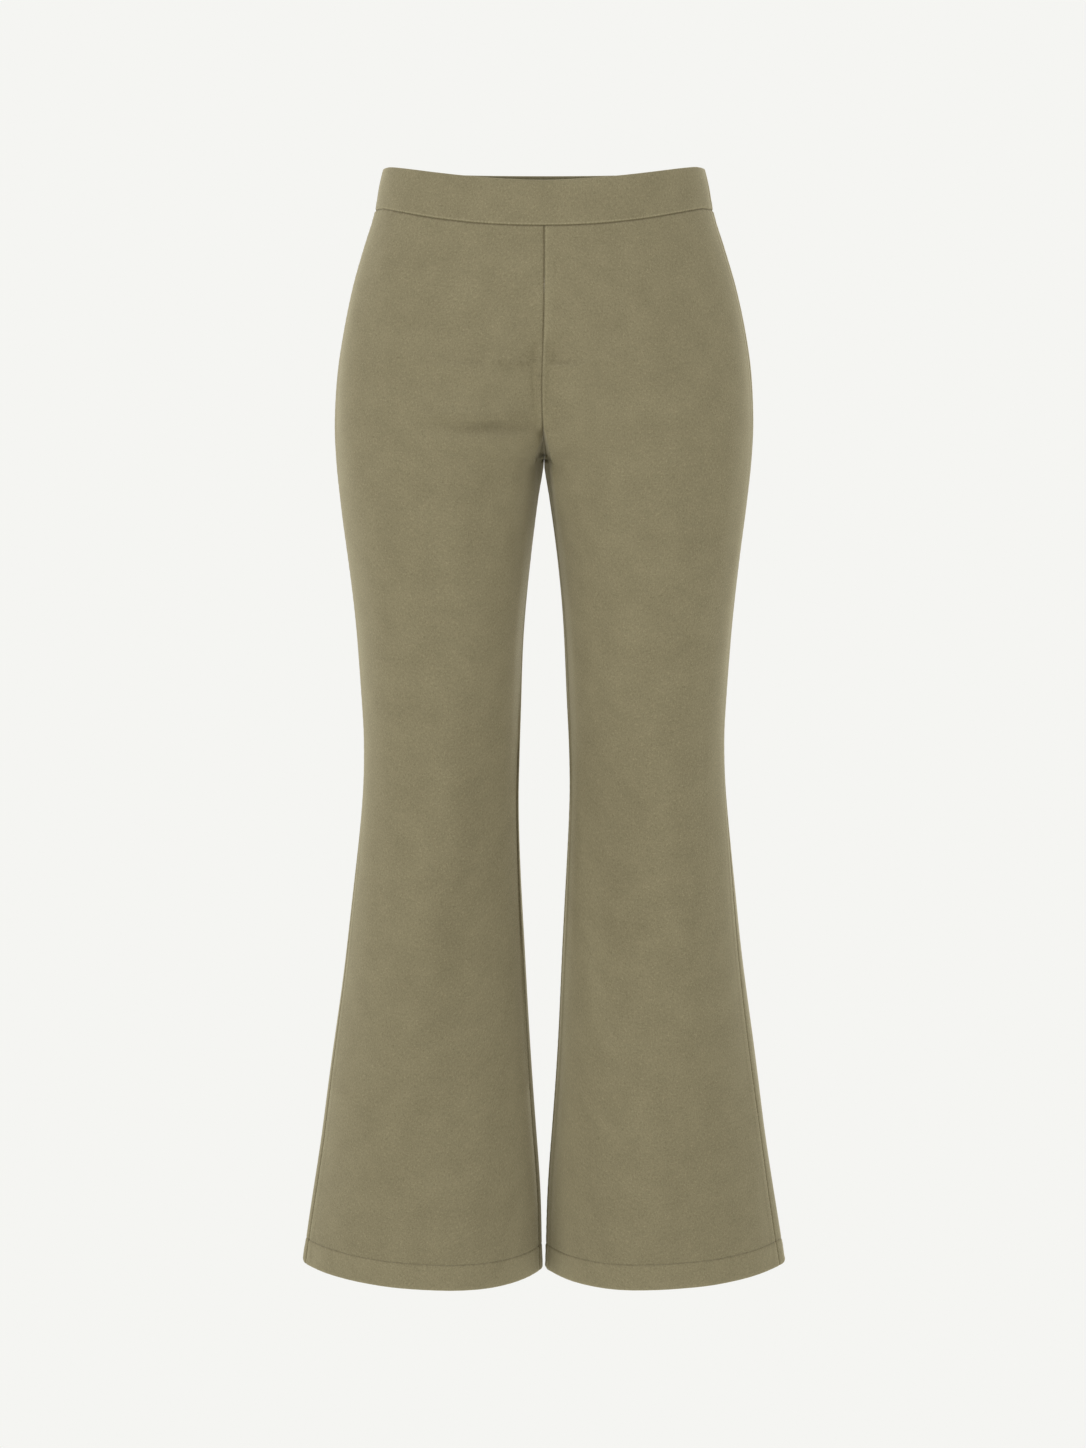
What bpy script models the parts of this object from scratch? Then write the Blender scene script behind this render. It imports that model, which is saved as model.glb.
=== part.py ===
"""Wide-leg pull-on trousers in their worn form, hollow, with nobody inside. Metres, +Z up.

The front faces -Y and the wearer's left is +X. The origin is the middle of the waist opening, level with the top of
the waistband at the side seams, where the wearer's waist holds the garment up. Heights are given as drops below it.

Six cut pieces: two front panels, two back panels, and a waistband in a front and a back piece. Each panel runs from
the waist seam to the hem, whose edge is turned up inside. A panel's cloth is a wall whose outer points lie on
surface_point(), moved by the folds in FOLDS, and whose inner points lie a wall's thickness further in.
"""

from collections import namedtuple
import math

import bpy
from mathutils import Vector

# ---------------------------------------------------------------- driving sizes
CLOTH = 0.0016  # a single layer of brushed stretch twill
HEM_TURN_UP = 0.0245  # how far the hem is turned up inside
HEM_LAYERS = 1.8  # how thick the hem is, in single layers
BAND_WALL = 0.0028  # the waistband: two layers and their seam allowances
BAND_PROUD = 0.0005  # how far the waistband stands out from the panels
BAND_EDGE = 0.0011  # the rounding of the waistband's folded top edge
SEAM_GAP = 0.0003  # between neighbouring pieces
BAND_DEPTH = 0.0400  # the waistband's height at the side seams
BAND_DIP = 0.0167  # how much lower its top edge is at the centre front
SEAM_DIP = 0.0183  # how much lower the waist seam is at the centre front
CROTCH = 0.2710  # the drop of the point where all four panels meet
CROTCH_SIDE = 0.2620  # the drop, at the side seam, of the row of points that ends there
HEM_SIDE = 1.0500  # the drop of the hem at the side seam
HEM_INSEAM = 1.0560  # the drop of the hem at the inseam
HEM_FRONT_LIFT = 0.0015  # how much higher the hem hangs at the middle of the front
HEM_BACK_DIP = 0.0040  # how much lower it hangs at the middle of the back

# ---------------------------------------------------------------- how finely the cloth is cut up
RISE_ROWS = 15  # rows of faces from the waist seam to the crotch
LEG_ROWS = 26  # rows of faces from the crotch to the turned-up hem
HEM_ROWS = (0.0012, HEM_TURN_UP / 2, HEM_TURN_UP)  # rows below that: the second layer's raw edge is a small step
PANEL_COLUMNS = 14  # faces across a panel
BAND_COLUMNS = 20  # faces along half of a waistband piece
CURVE_SAMPLES = 72  # points used to measure along a row
LONGEST_MITRE = 1.4  # how much longer a wall's thickness may be where two walls meet at an angle
SEAM_CALM = 2  # how many columns a fold takes to reach its full depth beside a seam
FOLD_TAPER = 4  # how quickly a fold rises at its ends, as steps along its length
SHARP_EDGE = math.radians(50)

# ---------------------------------------------------------------- the body of the garment
# outer and inner: distances of a leg's two sides from the middle plane. apex: the same for the line down the middle
# of a leg's front and back. front and back: depths from the side seams' plane. fullness: 2 for a round section, and
# less where the front and the back meet at a pressed seam.
Section = namedtuple("Section", "drop outer inner apex front back fullness")
SECTIONS = [
    Section(0.000, 0.1500, 0.0000, 0.000, 0.091, 0.097, 2.0),
    Section(0.040, 0.1580, 0.0000, 0.000, 0.097, 0.104, 2.0),
    Section(0.075, 0.1692, 0.0000, 0.004, 0.101, 0.111, 2.0),
    Section(0.110, 0.1796, 0.0000, 0.014, 0.104, 0.119, 2.0),
    Section(0.150, 0.1886, 0.0000, 0.032, 0.106, 0.127, 2.0),
    Section(0.190, 0.1949, 0.0000, 0.053, 0.107, 0.132, 2.0),
    Section(0.235, 0.1974, 0.0000, 0.076, 0.106, 0.130, 2.0),
    Section(0.271, 0.1960, 0.0004, 0.091, 0.103, 0.124, 1.9),
    Section(0.310, 0.1920, 0.0064, 0.097, 0.099, 0.116, 1.9),
    Section(0.367, 0.1852, 0.0130, 0.099, 0.093, 0.105, 1.9),
    Section(0.443, 0.1771, 0.0196, 0.099, 0.085, 0.093, 1.9),
    Section(0.520, 0.1719, 0.0233, 0.098, 0.078, 0.084, 1.9),
    Section(0.558, 0.1721, 0.0242, 0.098, 0.075, 0.081, 1.8),
    Section(0.597, 0.1746, 0.0242, 0.098, 0.074, 0.080, 1.7),
    Section(0.674, 0.1822, 0.0216, 0.099, 0.076, 0.082, 1.6),
    Section(0.752, 0.1912, 0.0178, 0.100, 0.079, 0.087, 1.5),
    Section(0.830, 0.2014, 0.0137, 0.100, 0.083, 0.093, 1.4),
    Section(0.909, 0.2130, 0.0088, 0.100, 0.086, 0.099, 1.3),
    Section(0.989, 0.2255, 0.0032, 0.099, 0.089, 0.105, 1.25),
    Section(1.060, 0.2362, 0.0004, 0.098, 0.092, 0.110, 1.2),
]
FLATNESS = 2.2  # how flat a section is at the middle of the front and back: 2 for an ellipse

# How far forward of the leg's outermost line each seam lies, seen as a distance inwards along X.
Seams = namedtuple("Seams", "drop left_out right_out left_in right_in")
SEAMS = [
    Seams(0.000, 0.0014, 0.0006, 0.0000, 0.0000),
    Seams(0.150, 0.0018, 0.0006, 0.0000, 0.0000),
    Seams(0.272, 0.0010, 0.0004, 0.0000, 0.0000),
    Seams(0.520, 0.0004, 0.0004, 0.0003, 0.0006),
    Seams(0.700, 0.0030, 0.0010, 0.0004, 0.0014),
    Seams(0.800, 0.0050, 0.0020, 0.0005, 0.0022),
    Seams(0.900, 0.0060, 0.0026, 0.0006, 0.0028),
    Seams(1.060, 0.0061, 0.0030, 0.0006, 0.0030),
]

# The centre seam's curve on the front and back: it leaves the smooth front or back at this drop, and bends under to
# the crotch. A larger bend keeps it straight for longer.
Rise = namedtuple("Rise", "start bend")
RISES = {"front": Rise(0.080, 2.6), "back": Rise(0.070, 2.4)}
RISE_REACH = 0.060  # how far up and down the cloth evens out the crotch's pull, at the middle of a leg
RISE_SHARES = (-1.0, -0.6, -0.2, 0.2, 0.6, 1.0)  # where, within that reach, the pull is read
SMALLEST_SPLIT = 0.02  # keeps the arc in surface_point() defined where the two legs are still one

# Soft troughs (depth above 0) and ridges (below 0), each from one point to another on the front or the back.
Fold = namedtuple("Fold", "face x0 drop0 x1 drop1 width depth")
FOLDS = [
    Fold("front", -0.008, 0.240, -0.082, 0.248, 0.014, 0.0030),
    Fold("front", -0.036, 0.560, -0.082, 0.800, 0.022, 0.0045),
    Fold("front", 0.036, 0.530, 0.088, 0.830, 0.022, 0.0040),
    Fold("front", 0.150, 0.240, 0.148, 0.420, 0.020, 0.0020),
    Fold("back", -0.030, 0.275, -0.120, 0.300, 0.018, 0.0030),
    Fold("back", 0.030, 0.280, 0.110, 0.312, 0.019, 0.0025),
    Fold("back", -0.040, 0.540, -0.090, 0.760, 0.024, 0.0045),
    Fold("back", 0.040, 0.520, 0.086, 0.790, 0.024, 0.0050),
]

SIDES = {"left": 1, "right": -1}
TWILL = {"base": (0.246, 0.212, 0.130, 1.0), "roughness": 0.9}

# The waistband's cross-section, up its outside and down its inside: the share of its height below the top edge, how
# much lower the point lies than that, and the share of the wall from the outside.
Step = namedtuple("Step", "height lower depth")
BAND_PROFILE = [
    Step(1.0, 0.0, 0.0),
    Step(0.5, 0.0, 0.0),
    Step(0.0, BAND_EDGE, 0.0),
    Step(0.0, 0.0, 0.25),
    Step(0.0, 0.0, 0.75),
    Step(0.0, BAND_EDGE, 1.0),
    Step(0.5, 0.0, 1.0),
    Step(1.0, 0.0, 1.0),
]


# ---------------------------------------------------------------- reading the tables
def mix(a, b, share):
    return a + (b - a) * share


def smooth_step(share):
    share = min(max(share, 0.0), 1.0)
    return share * share * (3 - 2 * share)


def read(table, name, drop):
    """A column of a table at a drop, on a smooth curve through its rows."""
    rows = [(row.drop, getattr(row, name)) for row in table]
    drop = min(max(drop, rows[0][0]), rows[-1][0])
    i = max(k for k in range(len(rows) - 1) if rows[k][0] <= drop)
    slopes = []
    for k in (i, i + 1):
        low, high = rows[max(k - 1, 0)], rows[min(k + 1, len(rows) - 1)]
        slopes.append((high[1] - low[1]) / (high[0] - low[0]))
    (at0, value0), (at1, value1) = rows[i], rows[i + 1]
    step = at1 - at0
    s = (drop - at0) / step
    return (
        value0 * (1 + 2 * s) * (1 - s) ** 2
        + slopes[0] * step * s * (1 - s) ** 2
        + value1 * s * s * (3 - 2 * s)
        + slopes[1] * step * s * s * (s - 1)
    )


# ---------------------------------------------------------------- the outer surface
def split(drop, face):
    """0 where both legs share one smooth front or back, rising to 1 at the crotch, where a leg is a whole tube."""
    rise = RISES[face]
    share = (drop - rise.start) / (CROTCH - rise.start)
    return min(max(share, 0.0), 1.0) ** rise.bend


def eased_split(drop, face, share):
    """split(), evened out over a height that shrinks to nothing as share goes from a leg's middle, 0, to its end, 1."""
    reach = RISE_REACH * (1 - share)
    return sum(split(drop + s * reach, face) for s in RISE_SHARES) / len(RISE_SHARES)


def surface_point(side_name, drop, angle):
    """A point of the cloth's outer surface. angle goes round a leg from its outermost line, 0, over the front, above
    0, or the back, below 0, to its inner side or to the garment's middle plane, at half a turn."""
    if angle < -math.pi:
        angle += 2 * math.pi
    face = "front" if angle >= 0 else "back"
    turn = abs(angle)
    outer, apex = read(SECTIONS, "outer", drop), read(SECTIONS, "apex", drop)
    if turn <= math.pi / 2:
        share = math.cos(turn)
        x = apex + (outer - apex) * share
        held = share
    else:
        end = max(read(SECTIONS, "inner", drop) if drop >= CROTCH else 0.0, SEAM_GAP / 2)
        arc = math.asin(min(max(split(drop, face), SMALLEST_SPLIT), 1.0))
        share = math.sin((turn / (math.pi / 2) - 1) * arc) / math.sin(arc)
        x = apex + (end - apex) * share
        held = share * eased_split(drop, face, share)
    y = read(SECTIONS, face, drop) * max(1 - held**FLATNESS, 0.0) ** (1 / read(SECTIONS, "fullness", drop))
    return Vector((SIDES[side_name] * x, -y if face == "front" else y, -drop))


def seam_angle(side_name, which, drop):
    """The angle that lies a seam's distance forward of a leg's outermost or innermost line."""
    inwards = max(read(SEAMS, f"{side_name}_{which}", drop), 0.0)
    reach = abs(read(SECTIONS, "outer" if which == "out" else "inner", drop) - read(SECTIONS, "apex", drop))
    return math.acos(1 - min(inwards / reach, 1.0))


# ---------------------------------------------------------------- where the rows of points run
def across(drop, x):
    """1 at the middle plane and 0 at the outermost line."""
    return 1 - min(abs(x) / read(SECTIONS, "outer", drop), 1.0) ** 2


def waist_seam(angle, x):
    return BAND_DEPTH + (SEAM_DIP * across(BAND_DEPTH, x) if angle > 0 else 0.0)


def band_top(angle, x):
    return BAND_DIP * across(0.0, x) if angle > 0 else 0.0


def crotch_level(angle):
    return mix(CROTCH_SIDE, CROTCH, smooth_step(abs(angle) / math.pi))


def hem_level(angle):
    turn = abs(angle)
    dip = -HEM_FRONT_LIFT if angle > 0 else HEM_BACK_DIP
    return mix(HEM_SIDE, HEM_INSEAM, smooth_step(turn / math.pi)) + dip * math.sin(turn) ** 2


def rise_drop(share, angle, x):
    """The drop of a row between the waist seam, share 0, and the crotch, share 1. Its end slows down towards the
    crotch, where the centre seam runs level."""
    eased = mix(share, 1 - (1 - share) ** 2, smooth_step(abs(angle) / math.pi))
    return mix(waist_seam(angle, x) + SEAM_GAP / 2, crotch_level(angle), eased)


def leg_drop(share, angle):
    return mix(crotch_level(angle), hem_level(angle) - HEM_TURN_UP, share)


def even_row(side_name, face, drop_at, columns):
    """columns + 1 points, evenly spaced from the side seam to the centre seam or the inseam."""
    facing = 1 if face == "front" else -1
    samples = []
    for i in range(CURVE_SAMPLES + 1):
        share = i / CURVE_SAMPLES
        rough_angle = facing * math.pi * share
        rough = surface_point(side_name, drop_at(rough_angle, 0.0), rough_angle)
        drop = drop_at(rough_angle, rough.x)
        first = seam_angle(side_name, "out", drop)
        last = math.pi - (seam_angle(side_name, "in", drop) if drop >= CROTCH else 0.0)
        if face == "back":
            last -= 2 * math.pi
        samples.append(surface_point(side_name, drop, mix(first, last, share)))
    return evenly(samples, columns)


def evenly(points, count):
    """count + 1 points at equal distances along a line of points."""
    lengths = [0.0]
    for a, b in zip(points, points[1:]):
        lengths.append(lengths[-1] + (b - a).length)
    found, k = [], 0
    for i in range(count + 1):
        at = lengths[-1] * i / count
        while k < len(points) - 2 and lengths[k + 1] < at:
            k += 1
        found.append(points[k].lerp(points[k + 1], (at - lengths[k]) / (lengths[k + 1] - lengths[k])))
    return found


def panel_rows(side_name, face):
    """A panel's rows of points, from the waist seam to the hem's edge."""
    rows = []
    for i in range(RISE_ROWS):
        rows.append(lambda angle, x, share=i / RISE_ROWS: rise_drop(share, angle, x))
    for i in range(LEG_ROWS + 1):
        rows.append(lambda angle, x, share=i / LEG_ROWS: leg_drop(share, angle))
    for lower in HEM_ROWS:
        rows.append(lambda angle, x, lower=lower: leg_drop(1.0, angle) + lower)
    return [even_row(side_name, face, row, PANEL_COLUMNS) for row in rows]


# ---------------------------------------------------------------- folds
def fold_depth(point, face):
    """How far the folds move a point of a face inwards."""
    total = 0.0
    for fold in FOLDS:
        if fold.face != face:
            continue
        start = Vector((fold.x0, -fold.drop0))
        along = Vector((fold.x1, -fold.drop1)) - start
        away = Vector((point.x, point.z)) - start
        share = away.dot(along) / along.length_squared
        beside = (away - along * min(max(share, 0.0), 1.0)).length
        taper = smooth_step(FOLD_TAPER * share + 0.5) * smooth_step(FOLD_TAPER * (1 - share) + 0.5)
        total += fold.depth * taper * math.exp(-((beside / fold.width) ** 2))
    return total


# ---------------------------------------------------------------- walls of cloth
def mirrored(point):
    return Vector((-point.x, point.y, point.z))


def wall_directions(grid, neighbours, outward):
    """At each point, the way out of the wall, long enough that walls which meet at an angle keep their thickness.
    neighbours holds, for each row, the next points beyond its two ends. outward is 1 where down x along points out."""
    directions = []
    for i, row in enumerate(grid):
        above, below = grid[max(i - 1, 0)], grid[min(i + 1, len(grid) - 1)]
        line = [neighbours[i][0], *row, neighbours[i][1]]
        found = []
        for j, point in enumerate(row):
            into = (point - line[j]).normalized()
            onward = (line[j + 2] - point).normalized()
            bisector = into + onward
            normal = (below[j] - above[j]).cross(bisector).normalized()
            found.append(normal * (outward * min(2 / bisector.length, LONGEST_MITRE)))
        directions.append(found)
    return directions


def mesh_object(name, points, faces):
    mesh = bpy.data.meshes.new(name)
    mesh.from_pydata(points, [], faces)
    mesh.shade_smooth()
    mesh.set_sharp_from_angle(angle=SHARP_EDGE)
    mesh.materials.append(bpy.data.materials["twill"])
    made = bpy.data.objects.new(name, mesh)
    bpy.context.scene.collection.objects.link(made)
    return made


def wall_object(name, outside, inside, flipped):
    """One closed solid between two grids of points with the same rows and columns."""
    rows, columns = len(outside), len(outside[0])
    points = [p for grid in (outside, inside) for row in grid for p in row]
    back = rows * columns

    def at(i, j):
        return i * columns + j

    faces = []
    for i in range(rows - 1):
        for j in range(columns - 1):
            a, b, c, d = at(i, j), at(i + 1, j), at(i + 1, j + 1), at(i, j + 1)
            if (points[a] - points[c]).length < (points[b] - points[d]).length:
                halves = ((a, b, c), (a, c, d))
            else:
                halves = ((a, b, d), (b, c, d))
            for half in halves:
                faces.append(half)
                faces.append(tuple(back + k for k in reversed(half)))
    border = [at(i, 0) for i in range(rows)] + [at(rows - 1, j) for j in range(1, columns)]
    border += [at(i, columns - 1) for i in range(rows - 2, -1, -1)] + [at(0, j) for j in range(columns - 2, 0, -1)]
    for k, a in enumerate(border):
        b = border[(k + 1) % len(border)]
        faces.append((b, a, back + a, back + b))
    if flipped:
        faces = [tuple(reversed(face)) for face in faces]
    return mesh_object(name, points, faces)


def parted(row, first, last):
    """A row of points with its two ends moved in along it, by these distances."""
    row = list(row)
    row[0] = row[0] + (row[1] - row[0]).normalized() * first
    row[-1] = row[-1] + (row[-2] - row[-1]).normalized() * last
    return row


def panel(side_name, face, grid, other_grid):
    """A front or back panel. other_grid is the panel that it is sewn to at the side seam and the inseam."""
    outward = (-1 if face == "front" else 1) * SIDES[side_name]
    neighbours = []
    for i, (row, other) in enumerate(zip(grid, other_grid)):
        neighbours.append((other[1], mirrored(row[-2]) if i < RISE_ROWS else other[-2]))
    directions = wall_directions(grid, neighbours, outward)
    outside, inside = [], []
    for i, (row, line) in enumerate(zip(grid, directions)):
        layers = HEM_LAYERS if i > RISE_ROWS + LEG_ROWS else 1.0
        last = len(row) - 1
        moved = []
        for j, (point, direction) in enumerate(zip(row, line)):
            free = smooth_step(min(j, last - j) / SEAM_CALM)
            moved.append(point - direction * (fold_depth(point, face) * free))
        thick = [point - direction * (CLOTH * layers) for point, direction in zip(moved, line)]
        inseam = 0.0 if i < RISE_ROWS else SEAM_GAP / 2
        outside.append(parted(moved, SEAM_GAP / 2, inseam))
        inside.append(parted(thick, SEAM_GAP / 2, inseam))
    return wall_object(f"{face}_panel_{side_name}", outside, inside, flipped=outward < 0)


# ---------------------------------------------------------------- the waistband
def band_row(face, drop_at):
    """Points along one piece of the waistband, from the wearer's right side seam to the left one."""
    right = even_row("right", face, drop_at, BAND_COLUMNS)
    left = even_row("left", face, drop_at, BAND_COLUMNS)
    return right[:-1] + [(right[-1] + left[-1]) / 2] + left[-2::-1]


def band_piece(face):
    """The front or back piece of the waistband: a doubled strip with a folded top edge."""
    other = "back" if face == "front" else "front"
    out = 1 if face == "front" else -1
    lines = []
    for step in BAND_PROFILE:

        def drop_at(angle, x):
            top, seam = band_top(angle, x), waist_seam(angle, x) - SEAM_GAP / 2
            return mix(top, seam, step.height) + step.lower

        row, beyond = band_row(face, drop_at), band_row(other, drop_at)
        line = [beyond[1], *row, beyond[-2]]
        moved = []
        for j, point in enumerate(row):
            bisector = (point - line[j]).normalized() + (line[j + 2] - point).normalized()
            away = Vector((bisector.y, -bisector.x, 0.0)).normalized() * out
            away *= 2 / bisector.length
            moved.append(point + away * (BAND_PROUD - step.depth * BAND_WALL))
        lines.append(parted(moved, SEAM_GAP / 2, SEAM_GAP / 2))
    return ring_object(f"waistband_{face}", list(zip(*lines)), flipped=face == "front")


def ring_object(name, rings, flipped):
    """A closed solid whose cross-section goes through the same number of points at each ring."""
    count = len(rings[0])
    points = [p for ring in rings for p in ring]
    faces = []
    for k in range(len(rings) - 1):
        for m in range(count):
            n = (m + 1) % count
            faces.append((k * count + m, k * count + n, (k + 1) * count + n, (k + 1) * count + m))
    faces.append(tuple(reversed(range(count))))
    faces.append(tuple((len(rings) - 1) * count + m for m in range(count)))
    if flipped:
        faces = [tuple(reversed(face)) for face in faces]
    return mesh_object(name, points, faces)


# ---------------------------------------------------------------- the garment
def cloth_material():
    material = bpy.data.materials.new("twill")
    material.use_nodes = True
    shader = material.node_tree.nodes["Principled BSDF"]
    shader.inputs["Base Color"].default_value = TWILL["base"]
    shader.inputs["Roughness"].default_value = TWILL["roughness"]
    shader.inputs["Metallic"].default_value = 0.0


def main():
    for old in list(bpy.data.objects):
        bpy.data.objects.remove(old)
    cloth_material()
    for side_name in SIDES:
        front, back = panel_rows(side_name, "front"), panel_rows(side_name, "back")
        panel(side_name, "front", front, back)
        panel(side_name, "back", back, front)
    band_piece("front")
    band_piece("back")


main()
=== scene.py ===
"""The looks of a pair of olive wide-leg trousers in their worn form, hollow, with nobody inside.

Metres, +Z up. The front faces -Y and the wearer's left is +X. Heights are drops below the top of the
waistband at the side seams. Each cut piece is a closed shell of cloth on the form of its solid, much finer,
with the creases, the seams' grooves and allowances, the turned-up hem and its stitches.
"""

from collections import namedtuple
import math

import bpy
import numpy as np
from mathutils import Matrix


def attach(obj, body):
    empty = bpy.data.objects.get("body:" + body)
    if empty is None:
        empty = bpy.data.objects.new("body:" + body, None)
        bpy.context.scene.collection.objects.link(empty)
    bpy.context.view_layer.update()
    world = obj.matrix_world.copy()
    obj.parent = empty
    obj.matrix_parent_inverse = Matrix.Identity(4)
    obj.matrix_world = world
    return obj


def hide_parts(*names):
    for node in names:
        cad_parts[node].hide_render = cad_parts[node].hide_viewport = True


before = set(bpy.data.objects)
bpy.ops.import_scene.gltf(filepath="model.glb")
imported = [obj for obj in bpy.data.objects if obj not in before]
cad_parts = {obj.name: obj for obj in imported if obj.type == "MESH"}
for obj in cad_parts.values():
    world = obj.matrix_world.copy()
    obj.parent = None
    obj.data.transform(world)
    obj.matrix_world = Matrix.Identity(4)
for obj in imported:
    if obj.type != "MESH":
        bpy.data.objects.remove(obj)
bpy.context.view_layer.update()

# -------- sizes of the garment, as in the solids
CLOTH = 0.0016  # a single layer of brushed stretch twill
BAND_WALL = 0.0028  # the waistband: two layers and their seam allowances
BAND_DEPTH = 0.0400  # the waistband's height at the side seams
BAND_DIP = 0.0160  # how much lower its top edge is at the centre front
SEAM_DIP = 0.0183  # how much lower the waist seam is at the centre front
SEAM_BEND = 2.4  # how straight the waist seam stays at the middle of the front
BAND_ROLL = 0.0011  # how much lower its folded edge lies
CROTCH = 0.2710  # the drop of the point where all four panels meet
CROTCH_SIDE = 0.2620  # the drop, at the side seam, of the row that ends there
HEM_SIDE = 1.0500  # the drop of the hem at the side seam
HEM_INSEAM = 1.0560  # the drop of the hem at the inseam
HEM_FRONT_LIFT = 0.0015  # how much higher the hem hangs at the middle of the front
HEM_BACK_DIP = 0.0040  # how much lower it hangs at the middle of the back
HEM_TURN_UP = 0.0245  # how far the hem is turned up inside
HEM_WALL = 0.0028  # how thick it is there
HEM_CORNER = 0.0030  # how rounded it is where it turns from the front to the back
HEM_CORNER_REACH = 0.030  # how far up the cloth is lifted with it

# A level section of one leg: the x of its outermost, innermost and most forward points, how far it reaches
# forward and back, and how full it is between: 2 for an ellipse.
Section = namedtuple("Section", "drop outer inner apex front back fullness")
SECTIONS = [Section(*row) for row in (
    (0.000, 0.1500, 0.0000, 0.000, 0.091, 0.097, 2.0),
    (0.040, 0.1580, 0.0000, 0.000, 0.097, 0.104, 2.0),
    (0.075, 0.1692, 0.0000, 0.004, 0.101, 0.111, 2.0),
    (0.110, 0.1796, 0.0000, 0.014, 0.104, 0.119, 2.0),
    (0.150, 0.1886, 0.0000, 0.032, 0.106, 0.127, 2.0),
    (0.190, 0.1949, 0.0000, 0.053, 0.107, 0.132, 2.0),
    (0.235, 0.1974, 0.0000, 0.076, 0.106, 0.130, 2.0),
    (0.271, 0.1960, 0.0004, 0.091, 0.103, 0.124, 1.9),
    (0.310, 0.1920, 0.0064, 0.097, 0.099, 0.116, 1.9),
    (0.367, 0.1852, 0.0130, 0.099, 0.093, 0.105, 1.9),
    (0.443, 0.1771, 0.0196, 0.099, 0.085, 0.093, 1.9),
    (0.520, 0.1719, 0.0233, 0.098, 0.078, 0.084, 1.9),
    (0.558, 0.1721, 0.0242, 0.098, 0.075, 0.081, 1.8),
    (0.597, 0.1746, 0.0242, 0.098, 0.074, 0.080, 1.7),
    (0.674, 0.1822, 0.0216, 0.099, 0.076, 0.082, 1.6),
    (0.752, 0.1912, 0.0178, 0.100, 0.079, 0.087, 1.5),
    (0.830, 0.2014, 0.0137, 0.100, 0.083, 0.093, 1.4),
    (0.909, 0.2130, 0.0088, 0.100, 0.086, 0.099, 1.3),
    (0.989, 0.2255, 0.0032, 0.099, 0.089, 0.105, 1.25),
    (1.060, 0.2362, 0.0004, 0.098, 0.092, 0.110, 1.2),
)]
FLATNESS = 2.2  # how flat a section is at the middle of the front and back: 2 for an ellipse

# How far forward of a leg's outermost or innermost line each seam lies, seen as a distance inwards along X.
Seams = namedtuple("Seams", "drop left_out right_out left_in right_in")
SEAMS = [Seams(*row) for row in (
    (0.000, 0.0014, 0.0006, 0.0000, 0.0000),
    (0.150, 0.0018, 0.0006, 0.0000, 0.0000),
    (0.272, 0.0010, 0.0004, 0.0000, 0.0000),
    (0.520, 0.0004, 0.0004, 0.0003, 0.0006),
    (0.700, 0.0030, 0.0010, 0.0004, 0.0014),
    (0.800, 0.0050, 0.0020, 0.0005, 0.0022),
    (0.900, 0.0060, 0.0026, 0.0006, 0.0028),
    (1.060, 0.0061, 0.0030, 0.0006, 0.0030),
)]

# Above the crotch the front and the back part into two legs: from which drop, and how late they do so.
Rise = namedtuple("Rise", "start bend")
RISES = {"front": Rise(0.080, 2.6), "back": Rise(0.070, 2.4)}
RISE_REACH = 0.060  # how far up and down their parting is evened out, by these shares
RISE_SHARES = (-1.0, -0.6, -0.2, 0.2, 0.6, 1.0)
SMALLEST_SPLIT = 0.02

SIDES = {"left": 1, "right": -1}
FACES = {"front": 1, "back": -1}
OTHER = {"front": "back", "back": "front"}
TINY = 1e-9  # keeps a division from one by zero

# The cut of what shows: the widest part of a panel by its longest part, and its area.
FlatSize = namedtuple("FlatSize", "flat area")

# -------- how finely the cloth is cut up
# Distances from a seam of the lines of points that lie along it. Beyond them the lines are evenly spaced.
EDGE_STEPS = (0.0, 0.0003, 0.0007, 0.0012, 0.0018, 0.0026, 0.0038, 0.0054, 0.0072, 0.0086, 0.0097, 0.0110)
PANEL_COLUMNS = 80  # between the two edges' own lines
RISE_ROWS = 104
CLOSER_ROWS = 0.110  # how far from the middle the rows lie closer together towards the crotch
LEG_ROWS = 176
HEM_START = 0.0320  # where the leg's even rows end, above the hem's edge
HEM_STEPS = (0.0285, 0.0265, 0.0256, 0.0250, 0.0245, 0.0240, 0.0233, 0.0220, 0.0195, 0.0165, 0.0135, 0.0105,
             0.0080, 0.0060, 0.0044, 0.0032, 0.0022, 0.0014, 0.0008, 0.0003, 0.0)
SAMPLES = 400  # points used to measure along a row

BAND_STATIONS = 120  # along a quarter of the waistband
BAND_EDGE_STEPS = EDGE_STEPS[:8]
# The waistband's outside and inside: shares of its height, from, to and how many, and drops below its top.
BAND_OUTER_SHARES = (0.18, 0.82, 10)
BAND_OUTER_TOP = (0.0054, 0.0040, 0.0028)
BAND_FOLD_POINTS = 9  # round the fold at its top edge
BAND_INNER_TOP = (0.0028, 0.0060)
BAND_INNER_SHARES = (0.78, 0.10, 8)

# -------- sewing
# Small waves along a seam, and how far and how often they are off their pitch.
Ripple = namedtuple("Ripple", "pitch drift often")

SEAM_GROOVE = 0.0008  # how deep the cloth dips into a seam
SEAM_GROOVE_WIDTH = 0.0010
ALLOWANCE = 0.0090  # the width of the seam allowance, pressed open inside
ALLOWANCE_END = 0.0024  # the width over which it ends
ALLOWANCE_LIFT = 0.00025  # how far it lifts the cloth outside
ALLOWANCE_SLOPE = 0.3  # the share of the lift that grows towards its edge
INNER_ALLOWANCE_LIFT = {"left": 0.00060, "right": 0.00010}  # the centre seam's lies to the wearer's left
ALLOWANCE_THICK = 0.0012  # its own thickness, inside
PUCKER = 0.00012  # the height of the ripples along a seam
PUCKER_RIPPLE = Ripple(0.0085, 2.2, 61.0)
PUCKER_REACH = 0.006  # how far from the seam they go
MIDDLE_GAP = 0.00003  # between the two legs' cloth and the middle plane

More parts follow.
